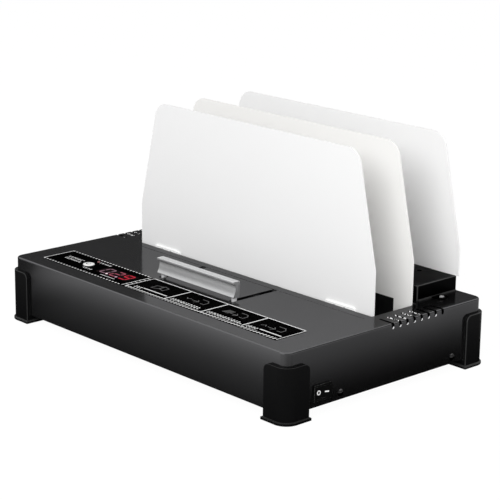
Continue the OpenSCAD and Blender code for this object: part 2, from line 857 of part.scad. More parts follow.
// Cross bar under the handle, with an arm towards each end of the front board
module clamp_carriage() {
    bar_y0 = -post_y - bar_d / 2;
    bar_w = arm_pitch + arm_w;
    color("#3a3d40") difference() {
        union() {
            translate([mech_x - bar_w / 2, bar_y0, carriage_z0]) cube([bar_w, bar_d, carriage_t]);
            at_arms() translate([-arm_w / 2, bar_y0, carriage_z0])
                cube([arm_w, arm_end_y - bar_y0, carriage_t]);
        }
        translate([0, 0, carriage_z0 - cut]) {
            at_posts() hole(clear_d, carriage_t + 2 * cut);
            at_angle_screws() hole(clear_d, carriage_t + 2 * cut);
        }
    }
}

module at_angle_screws() {
    at_arms() for (s = [-1, 1]) translate([s * board_screw_x, angle_screw_y, 0]) children();
}

// Angle screwed under the end of each arm, its upright flange against the front board
module board_brackets() {
    color("#f1f1ef") difference() {
        at_arms() {
            translate([0, front_y, angle_z0]) rotate([90, 0, 0]) linear_extrude(angle_t)
                translate([0, angle_h / 2]) rounded_rect(angle_w, angle_h, angle_r);
            translate([0, front_y - angle_leg / 2, angle_z0]) linear_extrude(angle_t)
                rounded_rect(angle_w, angle_leg, angle_r);
        }
        at_board_screws(front_y + cut) hole(clear_d, angle_t + 2 * cut);
        translate([0, 0, angle_z0 - cut]) at_angle_screws() hole(clear_d, angle_t + 2 * cut);
    }
}

module bracket_screws() {
    color("#8f9296") translate([0, 0, angle_z0]) at_angle_screws() mirror([0, 0, 1])
        pan_screw(angle_t + carriage_t, hd = low_head_d, hh = low_head_h);
}

module at_rods() {
    for (s = [-1, 1]) translate([mech_x + s * rod_pitch / 2, 0, 0]) children();
}

module slide_bushes() {
    color("#d8d2c0") at_rods() difference() {
        translate([-bush_w / 2, -post_y - bar_d / 2, bush_z0]) cube([bush_w, bar_d, bush_w]);
        translate([0, -post_y + bar_d / 2 + cut, rod_z]) rotate([90, 0, 0])
            hole(rod_d + 2 * rod_fit, bar_d + 2 * cut);
    }
}

module guide_rods() {
    color("#cfd2d5") at_rods() translate([0, rod_y1, rod_z]) rotate([90, 0, 0])
        cylinder(d = rod_d, h = rod_y1 - rod_y0);
}

// Angle bracket hung under the top plate, its outer face at the origin and its foot to the rear
module rod_bracket() {
    foot_t = bracket_t / 2;
    difference() {
        union() {
            translate([-bracket_w / 2, 0, bush_z0]) cube([bracket_w, bracket_t, under_z - bush_z0]);
            translate([-bracket_w / 2, 0, under_z - foot_t])
                cube([bracket_w, bracket_t + bracket_foot, foot_t]);
        }
        translate([0, -cut, rod_z]) rotate([-90, 0, 0]) hole(rod_d + 2 * rod_fit, bracket_t + 2 * cut);
    }
}

// A bracket at each end of a rod, their feet towards each other
module rod_brackets() {
    color("#9a9da0") at_rods() {
        translate([0, rod_y0, 0]) rod_bracket();
        translate([0, rod_y1, 0]) mirror([0, 1, 0]) rod_bracket();
    }
}

// Paper boards

// Board outline from z0 up, measured from the top plate, with round upper corners
module board_outline(z0) {
    half = board_w / 2;
    tip = board_top_w / 2;
    slope = [tip - half, board_rise - board_straight];
    normal = [-slope.y, slope.x] / norm(slope);
    corner = [tip + board_r * (1 + normal.y) / normal.x, board_rise - board_r];
    tangent = corner - board_r * normal;
    right = [[half, z0], [half, board_straight], tangent, [corner.x, board_rise]];
    left = [for (i = [len(right) - 1 : -1 : 0]) [-right[i].x, right[i].y]];
    polygon(concat(right, left));
    for (s = [-1, 1]) translate([s * corner.x, corner.y]) circle(board_r);
}

// Stands an outline up as a board with its front face at y
module stand_board(y) {
    translate([mech_x, y + board_t, top_z]) rotate([90, 0, 0]) linear_extrude(board_t) children();
}

module board_legs(x, z0, z1) {
    for (s = [-1, 1]) translate([s * x - leg_w / 2, z0]) square([leg_w, z1 - z0]);
}

module front_board() {
    color("#f4f4f2") difference() {
        stand_board(front_y) board_outline(-front_drop);
        at_board_screws(front_y + board_t + cut) hole(clear_d, board_t + 2 * cut);
    }
}

module board_screws() {
    color("#8f9296") at_board_screws(arm_end_y)
        pan_screw(angle_t + board_t, hd = low_head_d, hh = low_head_h);
}

module at_leg_screws(y) {
    for (s = [-1, 1], drop = leg_screw_drop)
        translate([mech_x + s * leg_x, y, top_z - drop]) rotate([90, 0, 0]) children();
}

module middle_board() {
    color("#f4f4f2") difference() {
        stand_board(middle_y) {
            board_outline(middle_gap);
            board_legs(leg_x, leg_end_z - top_z, board_straight);
        }
        at_leg_screws(middle_y + board_t + cut) hole(clear_d, board_t + 2 * cut);
    }
}

module board_spacers() {
    color("#b9bbbe") at_leg_screws(open_y1) difference() {
        cylinder(d = leg_spacer_d, h = open_rear);
        translate([0, 0, -cut]) hole(clear_d, open_rear + 2 * cut);
    }
}

module leg_screws() {
    color("#8f9296") at_leg_screws(middle_y)
        pan_screw(board_t + open_rear + sheet_t, hd = low_head_d, hh = low_head_h);
}

module at_rear_board_screws(y) {
    for (s = [-1, 1], x = [-leg_w / 4, leg_w / 4])
        translate([mech_x + s * rear_leg_x + x, y, top_z + housing_h / 2]) rotate([90, 0, 0]) children();
}

module rear_board() {
    color("#f4f4f2") difference() {
        stand_board(rear_y) {
            board_outline(housing_h);
            board_legs(rear_leg_x, rear_leg_end, board_straight);
        }
        at_rear_board_screws(rear_y + board_t + cut) hole(clear_d, board_t + 2 * cut);
    }
}

module rear_board_screws() {
    color("#8f9296") at_rear_board_screws(housing_rear_y) mirror([0, 0, 1])
        pan_screw(sheet_t + fit + board_t, hd = low_head_d, hh = low_head_h);
}

// Rear housing, the shelf of the cooling rack

module at_housing_screws() {
    x = housing_w / 2 + lug_l - housing_lug_w / 2;
    for (s = [-1, 1]) translate([mech_x + s * x, housing_lug_y, top_z]) children();
}

module rear_housing() {
    color("#121314") difference() {
        union() {
            translate([mech_x, housing_mid_y, top_z])
                bent_box(housing_w, housing_d, housing_h, housing_r, bend_r);
            translate([mech_x, housing_lug_y, top_z]) linear_extrude(sheet_t)
                rounded_rect(housing_w + 2 * lug_l, housing_lug_w, housing_lug_w / 2 - fit);
        }
        translate([mech_x, housing_mid_y, top_z - cut]) linear_extrude(housing_h - sheet_t + cut)
            rounded_rect(housing_w - 2 * sheet_t, housing_d - 2 * sheet_t, housing_r - sheet_t);
        for (s = [-1, 1])
            translate([mech_x + s * rear_leg_x - leg_w / 2 - fit, rear_y - fit, top_z + housing_h / 2])
                cube([leg_w + 2 * fit, board_t + 1.5 * fit, housing_h]);
        at_housing_screws() translate([0, 0, -cut]) hole(clear_d, sheet_t + 2 * cut);
        for (s = [-1, 1])
            translate([mech_x + s * (housing_w / 2 - access_in), access_y, top_z + housing_h / 2])
                hole(access_d, housing_h);
        at_rear_board_screws(housing_rear_y + cut) hole(clear_d, sheet_t + 2 * cut);
    }
}

module housing_screws() {
    color("#c9ccd0") translate([0, 0, sheet_t]) at_housing_screws() pan_screw(housing_screw_l);
}

// Heater

module heater_tray() {
    tray_w = open_w + 2 * sheet_t;
    tray_d = open_d + 2 * sheet_t;
    color("#8b8e91") difference() {
        translate([mech_x - tray_w / 2, tray_front_y, tray_z0]) cube([tray_w, tray_d, under_z - tray_z0]);
        translate([mech_x - open_w / 2, open_y0, insulation_z0]) cube([open_w, open_d, under_z]);
        translate([mech_x - open_w / 2, tray_front_y - cut, under_z - tray_front_drop])
            cube([open_w, sheet_t + 2 * cut, under_z]);
        at_leg_screws(open_y1 + sheet_t + cut) hole(clear_d, sheet_t + 2 * cut);
    }
}

module insulation_pad() {
    color("#d9d3c4") translate([mech_x - heater_w / 2, heater_y - heater_d / 2, insulation_z0])
        cube([heater_w, heater_d, pad_t]);
}

module heating_elements() {
    element_in = 12;
    l = heater_w - 2 * element_in;
    color("#7d6a4a") for (s = [-1, 1])
        translate([mech_x - l / 2, heater_y + s * heater_d / 4 - element_w / 2, element_z0])
            cube([l, element_w, element_t]);
}

// Cast plate with a raised rim that keeps melted glue on it
module heater_plate() {
    rim_w = 2.5;
    rim_h = 1.2;
    corner_r = 3;
    color("#a9adb1") translate([mech_x, heater_y, heater_z0]) difference() {
        linear_extrude(heater_t) rounded_rect(heater_w, heater_d, corner_r);
        translate([0, 0, heater_t - rim_h]) linear_extrude(rim_h + cut)
            rounded_rect(heater_w - 2 * rim_w, heater_d - 2 * rim_w, corner_r / 2);
    }
}

module at_spacers() {
    translate([mech_x, heater_y, 0]) at_corners(spacer_x, spacer_y) children();
}

module tray_spacers() {
    color("#e8e4da") at_spacers() translate([0, 0, floor_z]) difference() {
        cylinder(d = spacer_d, h = spacer_h);
        translate([0, 0, -cut]) hole(clear_d, spacer_h + 2 * cut);
    }
}

module tray_screws() {
    color("#8f9296") at_spacers() translate([0, 0, lift]) mirror([0, 0, 1])
        pan_screw(tray_z0 - lift - fit, hd = low_head_d, hh = low_head_h);
}

// Bimetal disc thermostat: cap against the tray, body under it and two blade terminals
module thermostat() {
    cap_d = 16;
    cap_h = 3;
    body_d = 13.5;
    body_t = 4;
    blade_w = 6.3;
    blade_t = 0.8;
    blade_l = 4;
    blade_y = 4;
    color("#c9ccd0") translate([mech_x - thermostat_in, heater_y, tray_z0]) mirror([0, 0, 1]) {
        cylinder(d = cap_d, h = cap_h);
        translate([0, 0, cap_h]) cylinder(d = body_d, h = body_t);
        for (s = [-1, 1]) translate([-blade_w / 2, s * blade_y - blade_t / 2, cap_h + body_t])
            cube([blade_w, blade_t, blade_l]);
    }
}

module thermal_fuse() {
    fuse_d = 4;
    fuse_l = 12;
    lead_d = 1;
    color("#d8d9d6") translate([mech_x + thermal_fuse_in, heater_y, tray_z0 - fuse_d / 2])
        rotate([0, 90, 0]) {
            translate([0, 0, -fuse_l / 2]) cylinder(d = fuse_d, h = fuse_l);
            translate([0, 0, -fuse_l]) cylinder(d = lead_d, h = 2 * fuse_l);
        }
}

// Power board

module power_board() {
    color("#2c5a3a") translate([power_x - power_w / 2, power_y - power_d / 2, power_z])
        cube([power_w, power_d, pcb_t]);
}

module power_board_posts() {
    color("#b9bbbe") translate([power_x, power_y, floor_z])
        at_corners(power_w / 2 - standoff_in, power_d / 2 - standoff_in)
            cylinder(d = standoff_d, h = power_post_h);
}

// Laminated core round a winding that stands proud above and below it
module transformer() {
    core_w = 42;
    core_d = 34;
    core_h = 24;
    winding_w = 30;
    winding_d = 28;
    proud = 2.5;
    color("#4a4c50") translate([power_x - transformer_in, power_y, power_z + pcb_t]) {
        translate([-winding_w / 2, -winding_d / 2, 0]) cube([winding_w, winding_d, core_h + 2 * proud]);
        translate([-core_w / 2, -core_d / 2, proud]) cube([core_w, core_d, core_h]);
    }
}

module relay() {
    relay_w = 19;
    relay_d = 15.5;
    relay_h = 15.5;
    color("#1d3f7a") translate([power_x + relay_in, power_y, power_z + pcb_t])
        translate([-relay_w / 2, -relay_d / 2, 0]) cube([relay_w, relay_d, relay_h]);
}

upper_case();
base_plate();
foot_front_left();
foot_front_right();
foot_rear_left();
foot_rear_right();
foot_pads();
foot_screws();
case_screws();
control_overlay();
display_lens();
display_module();
indicator_led();
start_button();
tact_switch();
control_pcb();
pcb_standoffs();
buzzer();
switch_housing();
rocker_paddle();
power_inlet();
inlet_pins();
clamp_handle();
handle_posts();
handle_screws();
clamp_carriage();
board_brackets();
bracket_screws();
slide_bushes();
guide_rods();
rod_brackets();
front_board();
board_screws();
middle_board();
board_spacers();
leg_screws();
rear_board();
rear_board_screws();
rear_housing();
housing_screws();
heater_tray();
insulation_pad();
heating_elements();
heater_plate();
tray_spacers();
tray_screws();
thermostat();
thermal_fuse();
power_board();
power_board_posts();
transformer();
relay();
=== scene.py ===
"""Looks of a thermal binding machine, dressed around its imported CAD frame.

Metres, +X right, +Y rear, +Z up, origin on the floor under the centre of the case.
Named sizes of edges, vents, hems and marks, and the floor card's distances, are in millimetres.
"""
import json
import math

import bmesh
import bpy
from mathutils import Matrix, Vector


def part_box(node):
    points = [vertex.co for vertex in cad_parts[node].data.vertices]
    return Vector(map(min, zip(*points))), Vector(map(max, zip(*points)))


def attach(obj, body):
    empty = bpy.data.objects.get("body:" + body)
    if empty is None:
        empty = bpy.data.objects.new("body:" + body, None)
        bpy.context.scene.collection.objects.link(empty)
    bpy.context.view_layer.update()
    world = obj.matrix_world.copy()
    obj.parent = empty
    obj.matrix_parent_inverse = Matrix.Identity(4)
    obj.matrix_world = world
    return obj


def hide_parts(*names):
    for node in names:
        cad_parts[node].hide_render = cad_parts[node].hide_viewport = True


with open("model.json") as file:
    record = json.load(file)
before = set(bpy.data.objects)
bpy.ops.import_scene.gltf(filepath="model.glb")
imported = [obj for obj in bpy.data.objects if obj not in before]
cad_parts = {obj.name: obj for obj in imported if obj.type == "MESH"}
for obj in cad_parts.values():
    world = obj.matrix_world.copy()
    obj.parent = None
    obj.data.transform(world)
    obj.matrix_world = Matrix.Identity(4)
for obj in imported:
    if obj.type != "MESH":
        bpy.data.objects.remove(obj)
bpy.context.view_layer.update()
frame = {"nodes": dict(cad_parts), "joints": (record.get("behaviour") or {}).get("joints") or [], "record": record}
nodes = frame["nodes"]
record = frame["record"]
bodies = record["behaviour"]["bodies"]
node_slot = {part["node"]: part["material_slot"] for part in record["subparts"]}
node_body = {node: body for body, members in bodies.items() for node in members}
scene = bpy.context.scene
mm = 0.001

# Camera, fitted to the case's edges in the photograph
CAMERA_AZIMUTH = math.radians(47.3484)
CAMERA_ELEVATION = math.radians(15.585)
CAMERA_ROLL = math.radians(0.8084)
CAMERA_EYE = Vector((1.20088, -1.09418, 0.54548))
CAMERA_LENS = 124.675
CAMERA_SENSOR = 36.0

# Floor and ambient light
FLOOR_SIZE = 40.0
FLOOR_ALBEDO = 0.50
FLOOR_SHADOW = 0.10
FLOOR_WHITE = 1.075
AMBIENT = 0.60

# Lamps: name, place, diameter in metres, power in watts
LAMPS = (
    ("key", (0.88, -1.88, 1.56), 1.8, 44),
    ("side", (2.0, -0.55, 0.7), 1.0, 11),
)
LAMP_TARGET = (0, 0, 0.1)

# Curved flags: name, first and last bearing in degrees, height in metres, brightness
FLAG_RADIUS = 2.4
FLAG_STEP = 2
FLAGS = (
    ("rear_flag", 64, 206, 1.0, 0.157),
    ("left_flag", 206, 238, 0.7, 0.17),
    ("side_flag", -70, 64, 2.4, 0.16),
)

# Floor card, seen only in reflections, with painted shade of the floor near the case: size in metres, steps of its
# grid, height over the floor in millimetres
CARD_SIZE = 1.4
CARD_STEPS = 140
CARD_LIFT = 0.1
# Its brightness by the distance from the case, ahead of its long and of its short sides
CARD_AHEAD = (
    (0, 0), (25, 0.055), (50, 0.10), (73, 0.16), (97, 0.29), (121, 0.52), (146, 0.89), (165, 1),
)
CARD_ASIDE = (
    (0, 0), (32, 0), (53, 0.03), (79, 0.10), (105, 0.20), (131, 0.27), (158, 0.29), (320, 1),
)
# Share of that left, by the place on the front wall and on the right wall that mirrors it
CARD_WALL = ((-200, 0.25), (-185, 0.42), (-160, 0.75), (-120, 1))
CARD_SIDE = ((40, 1), (80, 0.75), (105, 0.45), (128, 0.25))
# Share of that left, by the turn in degrees of the front right corner that mirrors it
CARD_CORNER = ((0, 1), (7, 0.30), (15, 0.15), (55, 0.12), (66, 0.5), (76, 0.3), (90, 1))
# Distance at which those shares end, and the brightness left of what the front wall mirrors
CARD_FADE = 500
CARD_LEFT = 0.06

# Rounded edges, and the angles from which faces meet in a sharp or in a rounded edge
CASE_ROUND = 0.15
HOUSING_ROUND = 0.3
BOARD_ROUND = 0.35
FOOT_ROUND = 0.8
HANDLE_ROUND = 0.45
SWITCH_ROUND = 0.35
ROCKER_ROUND = 0.3
INLET_ROUND = 0.35
ROUND_STEPS = 2
FINE_ROUND_STEPS = 3
SHARP_ANGLE = math.radians(35)
ROUND_ANGLE = math.radians(38)
# Seams welded within a distance, and faces joined within an angle
NODE_WELD = 0.001
FLAT_ANGLE = math.radians(0.3)
# Parts of a face's normal from which it counts as facing, leaning or bent
FACING = 0.5
LEANING = 0.3
BENT = 0.35

# Vents: reach in over the top, down the side, and along the case each way
VENT_IN = 18
VENT_DOWN = 5.6
VENT_REACH = 90
# Depth below the case's top and sides in which a face is its skin and no cut wall
CASE_SKIN = 1.7
# Painted glints at the vents' lower ends: their height, and the y up to which they are painted
VENT_GLINT = 2.2
VENT_GLINT_LAST = 66
# Painted highlight specks on the vents' forward-facing cut walls: their first and last y, and how far in from the
# side they start
SPECKS_FROM = 9
SPECKS_TO = 46
VENT_BEND = 3.5

# Rear housing: reach of its fixing lugs past its ends, depth of its holes, slack at its ends
HOUSING_LUG = 13.5
HOUSING_SKIN = 2
BEND_SLACK = 0.1
# Its hems: how far out, how thick, and how much shorter than the housing is deep
HEM_OUT = 1.0
HEM_T = 1.4
HEM_SHORT = 3

# Ink: thickness, gap above the surface, weld of its outlines, least cosine at a mitre
INK_T = 0.05
INK_GAP = 0.01
INK_WELD = 0.0001
MITRE_LEAST = 0.35

# Print of the control panel: x from the middle of the case, y from the middle of the panel
PRINT_IN = 0.5
PRINT_LINE = 0.8
LADDER_LEFT = -50.0
LADDER_RIGHT = -44.8
LADDER_GAPS = 7
CELL_LINES = (11.0, 63.2, 117.0)
CELL_LINE_W = 1.4
CELL_LINE_SHORT = 2
# Dashes of its borders: length, pitch, height, and the slant of the cord
CONTROL_DASHES = (2.0, 4.6, 1.6)
REAR_DASHES = (1.8, 2.0, 1.3)
REAR_DASHES_IN = 0.2
CORD_DASHES = (1.7, 4.2, 3.4, 1.2)
CORD_IN = 1.4
# Captions: first and last x, y, height
CAPTIONS = (
    (-162, -138, 3.5, 3.0),
    (-161.5, -137, -1.8, 3.0),
    (-122, -105.7, -9.5, 2.4),
    (-122.6, -105.6, 12.3, 2.4),
    (-38, -28.5, -11.1, 4.2),
    (15.6, 56.3, -10.9, 4.6),
    (67.2, 114, -11.1, 4.6),
    (120.4, 134, -11.1, 4.2),
)
# Plain bars among them: two corners
CAPTION_BARS = (
    (-90.7, -12.8, -69, -11.9),
    (-27.5, -10.1, 6.6, -8.5),
    (135.3, -10.1, 162.8, -8.5),
)
# Words of a caption: lengths in turn, gap, and their height and rows as shares of its height
WORDS = (1.7, 2.2, 1.4, 1.9, 2.5)
WORD_GAP = 1.8
WORD_TALL = 0.38
WORD_ROW = 0.3
# Pictures: centres of the four cells, and strokes from such a centre
OPEN_CELL = (-17, 2.5)
LOAD_CELL = (36, 2.5)
BIND_CELL = (90, 2.5)
COOL_CELL = (141, 1.5)
PICTURE_LINE = 0.9
LEFT_PAGE = ((-8, -5), (0, -3), (0, 5), (-8, 3))
RIGHT_PAGE = ((0.9, -2), (8, -4), (8, 4), (0.9, 6))
ARROW_SHAFT = ((-6, -1), (3, -1))
ARROW_HEAD = ((0, 2.5), (3.5, -1), (0, -4.5))
BRACKET = ((1, 7), (9, 7), (13, 3), (13, -3), (8, -3))
LOAD_CHEVRON = ((-14, 1), (-11, -2), (-8, 1))
COOL_CHEVRON = ((-14, -2), (-10, 1), (-8, -2))
HATCH = ((-15, -3), (-12, 5))
HATCH_COUNT = 4
HATCH_PITCH = 2.2
HATCH_LINE = 1.3

# Display: its figures and points, each with its x from the lens's middle and its colour
FIGURES = (
    ("0", -14.6, (0.19, 0.11, 0.14)),
    ("2", 0.2, (0.28, 0.06, 0.09)),
    ("9", 15.0, (0.45, 0.012, 0.032)),
)
FIGURE_HALF_W = 4.6
FIGURE_HALF_H = 6.7
FIGURE_LINE = 1.8
FIGURE_GAP = 0.5
FIGURE_LEAN = 0.1
POINTS = (
    ("first", -8.6, (1.0, 0.8, 0.86)),
    ("second", 6.0, (0.7, 0.4, 0.54)),
)
POINT_DOWN = 6.5
POINT_R = 1.4
# Segments: place from a figure's middle in its half sizes, and whether they stand upright
SEGMENTS = {
    "a": (0, 1, False),
    "b": (1, 0.5, True),
    "c": (1, -0.5, True),
    "d": (0, -1, False),
    "e": (-1, -0.5, True),
    "f": (-1, 0.5, True),
    "g": (0, 0, False),
}
DIGITS = {"0": "abcdef", "2": "abged", "9": "abcdfg"}

# Start key: stem, rounded edge, crown, and the flange that lies below the panel's top
KEY_STEM_R = 1.5
KEY_EDGE = 0.55
KEY_CROWN = 0.35
KEY_FLANGE_W = 1.5
KEY_FLANGE_T = 1.0
KEY_FLANGE_DOWN = 1.7
KEY_STEPS = 6
KEY_SHARP_ANGLE = math.radians(40)
# Its mark: an arc by centre, radius, first and last angle, a stroke, and its depth in the crown
MARK_ARC = (0, -0.2, 2.2, 130, 410)
MARK_STROKE = ((0, 0.4), (0, 3.2))
MARK_LINE = 1.0
MARK_SINK = 0.12

# Rocker: turn at rest, its face's height over the pivot in the valley and at the ends, half length
ROCKER_REST = math.radians(-11)
ROCKER_VALLEY = 2.6
ROCKER_END = 3.8
ROCKER_REACH = 8.55
# Its marks: radius and line of the ring, two corners of the dash
OFF_RING_R = 1.7
OFF_RING_LINE = 0.95
ON_DASH = (-2.0, -0.6, 2.0, 0.6)

# Middle range of a noise's values, where most of them lie
NOISE_MIDDLE = (0.3, 0.7)


# Node helpers


def surface(mat):
    """The shader of a material."""
    return mat.node_tree.nodes["Principled BSDF"]


def material(name, base, roughness=0.5, metallic=0.0, specular=0.5, tint=1.0):
    """A Principled material; tint is the grey of its reflections at a grazing angle."""
    mat = bpy.data.materials.new(name)
    mat.use_nodes = True
    sockets = surface(mat).inputs
    sockets["Base Color"].default_value = (*base, 1.0)
    sockets["Roughness"].default_value = roughness
    sockets["Metallic"].default_value = metallic
    sockets["Specular IOR Level"].default_value = specular
    sockets["Specular Tint"].default_value = (tint, tint, tint, 1.0)
    return mat


def noise(mat, scale, detail, stretch=(1, 1, 1)):
    """Noise in the part's own space; stretch draws it out along an axis."""
    tree = mat.node_tree
    coords = tree.nodes.new("ShaderNodeTexCoord")
    mapping = tree.nodes.new("ShaderNodeMapping")
    mapping.inputs["Scale"].default_value = [1 / s for s in stretch]
    texture = tree.nodes.new("ShaderNodeTexNoise")
    texture.inputs["Scale"].default_value = scale
    texture.inputs["Detail"].default_value = detail
    tree.links.new(coords.outputs["Object"], mapping.inputs["Vector"])
    tree.links.new(mapping.outputs["Vector"], texture.inputs["Vector"])
    return texture.outputs["Fac"]


def mapped(mat, source, source_range, low, high):
    """A noise stretched from a range of its own to another."""
    tree = mat.node_tree
    ranged = tree.nodes.new("ShaderNodeMapRange")
    ranged.inputs["From Min"].default_value = source_range[0]
    ranged.inputs["From Max"].default_value = source_range[1]
    ranged.inputs["To Min"].default_value = low
    ranged.inputs["To Max"].default_value = high
    tree.links.new(source, ranged.inputs["Value"])
    return ranged.outputs["Result"]


def roughen(mat, source, low, high):
    """Drives the roughness between two values by the middle range of a noise."""
    level = mapped(mat, source, NOISE_MIDDLE, low, high)
    mat.node_tree.links.new(level, surface(mat).inputs["Roughness"])


def tone(mat, source, dark, light):
    """Drives the base colour between two colours by a noise."""
    tree = mat.node_tree
    mix = tree.nodes.new("ShaderNodeMix")
    mix.data_type = "RGBA"
    mix.inputs["A"].default_value = (*dark, 1.0)
    mix.inputs["B"].default_value = (*light, 1.0)
    tree.links.new(source, mix.inputs["Factor"])
    tree.links.new(mix.outputs["Result"], surface(mat).inputs["Base Color"])


def grain(mat, source, height):
    """Raises a noise as a bump, height in metres."""
    tree = mat.node_tree
    bump = tree.nodes.new("ShaderNodeBump")
    bump.inputs["Distance"].default_value = height
    tree.links.new(source, bump.inputs["Height"])
    tree.links.new(bump.outputs["Normal"], surface(mat).inputs["Normal"])


# Materials


def case_paint():
    """Glossy black lacquer on sheet steel, with a faint orange peel."""
    base = (0.145, 0.145, 0.149)
    mat = material("case_paint", base, roughness=0.09, metallic=0.97, tint=0.5)
    roughen(mat, noise(mat, scale=9, detail=3), 0.10, 0.15)
    grain(mat, noise(mat, scale=420, detail=1), 0.8e-6)
    return mat


def housing_paint():
    """Flat black paint."""
    base = (0.006, 0.006, 0.0062)
    mat = material("housing_paint", base, roughness=0.3, metallic=1.0, tint=0.48)
    roughen(mat, noise(mat, scale=12, detail=3), 0.25, 0.36)
    grain(mat, noise(mat, scale=700, detail=1), 2e-6)
    return mat


def satin_paint(name, base):
    """Satin paint on sheet steel."""
    mat = material(name, base, roughness=0.45, specular=0.3)
    roughen(mat, noise(mat, scale=14, detail=3), 0.38, 0.52)
    grain(mat, noise(mat, scale=900, detail=1), 8e-6)
    return mat


def board_paint(name, base):
    """White powder coat."""
    mat = material(name, base, roughness=0.5, specular=0.3)
    tone(mat, noise(mat, scale=5, detail=2), [0.99 * c for c in base], [1.01 * c for c in base])
    roughen(mat, noise(mat, scale=30, detail=2), 0.46, 0.56)
    grain(mat, noise(mat, scale=1100, detail=2), 7e-6)
    return mat


def moulding(name, base, roughness, height=14e-6, specular=0.35):
    """Moulded plastic with a fine eroded grain, height in metres."""
    mat = material(name, base, roughness, specular=specular)
    roughen(mat, noise(mat, scale=25, detail=2), roughness - 0.06, roughness + 0.06)
    grain(mat, noise(mat, scale=1800, detail=2), height)
    return mat


def metal(name, base, roughness, height=1.5e-6, scale=900):
    """Plain metal with fine tool marks, height in metres."""
    mat = material(name, base, roughness, metallic=1.0)
    marks = noise(mat, scale, detail=3)
    roughen(mat, marks, roughness * 0.75, roughness * 1.3)
    grain(mat, marks, height)
    return mat


def painted_glint_edge():
    """Near white at the lower ends of the vents: painted glints."""
    mat = material("painted_glint_edge", (0.95, 0.95, 0.96), roughness=0.4, metallic=0.2)
    tone(mat, noise(mat, scale=400, detail=1), (0.85, 0.85, 0.86), (1.0, 1.0, 1.0))
    return mat


def painted_speck_edge():
    """Cut wall of a vent, black with white spots: painted highlight specks."""
    mat = material("painted_speck_edge", (0.3, 0.3, 0.3), roughness=0.5, specular=0.1)
    spots = mapped(mat, noise(mat, scale=640, detail=0), (0.52, 0.57), 0, 1)
    tone(mat, spots, (0.004, 0.004, 0.004), (1.0, 1.0, 1.0))
    return mat


def edge_highlight(name, grey):
    """Black paled along an edge, a little uneven: a painted highlight line."""
    mat = material(name, (grey, grey, grey), roughness=0.4, specular=0.3)
    tone(mat, noise(mat, scale=80, detail=2), [0.8 * grey] * 3, [1.2 * grey] * 3)
    return mat


def handle_metal():
    """Satin anodised extrusion, its fine lines along its length."""
    mat = material("handle_metal", (0.68, 0.685, 0.69), roughness=0.35, metallic=0.96)
    roughen(mat, noise(mat, scale=2400, detail=2, stretch=(90, 1, 1)), 0.33, 0.37)
    return mat


def overlay_film():
    """Satin black film of the control panel."""
    base = (0.002, 0.002, 0.002)
    mat = material("overlay_film", base, roughness=0.4, metallic=1.0, tint=0.36)
    roughen(mat, noise(mat, scale=40, detail=2), 0.35, 0.45)
    grain(mat, noise(mat, scale=2500, detail=1), 2e-6)
    return mat


def lens():
    """Dark red window of the display."""
    mat = material("display_lens", (0.004, 0.0008, 0.0009), roughness=0.12, specular=0.01)
    roughen(mat, noise(mat, scale=60, detail=1), 0.09, 0.15)
    return mat


def ink(name, base):
    """Printing ink, a little uneven."""
    mat = material(name, base, roughness=0.55, specular=0.2)
    tone(mat, noise(mat, scale=1500, detail=2), [0.94 * c for c in base], base)
    return mat


def glow(name, colour):
    """Lit part of the display."""
    mat = material(name, [0.15 * c for c in colour], roughness=0.4, specular=0.02)
    surface(mat).inputs["Emission Color"].default_value = (*colour, 1.0)
    surface(mat).inputs["Emission Strength"].default_value = 1.0
    tone(mat, noise(mat, scale=300, detail=1), [0.1 * c for c in colour], [0.2 * c for c in colour])
    return mat


def lamp():
    """Unlit red lamp."""
    mat = material("lamp_red", (0.24, 0.11, 0.11), roughness=0.15, specular=0.4)
    tone(mat, noise(mat, scale=900, detail=1), (0.2, 0.09, 0.09), (0.28, 0.13, 0.13))
    return mat


def fibre():
    """Pressed ceramic fibre."""
    mat = material("insulation", (0.7, 0.66, 0.58), roughness=0.9, specular=0.1)
    tone(mat, noise(mat, scale=400, detail=4), (0.6, 0.56, 0.48), (0.76, 0.72, 0.64))
    grain(mat, noise(mat, scale=700, detail=4), 60e-6)
    return mat


def board_laminate():
    """Green solder mask over a circuit board."""
    mat = material("circuit_board", (0.02, 0.1, 0.04), roughness=0.35)
    tone(mat, noise(mat, scale=250, detail=3), (0.012, 0.075, 0.03), (0.03, 0.13, 0.055))
    grain(mat, noise(mat, scale=1500, detail=1), 5e-6)
    return mat


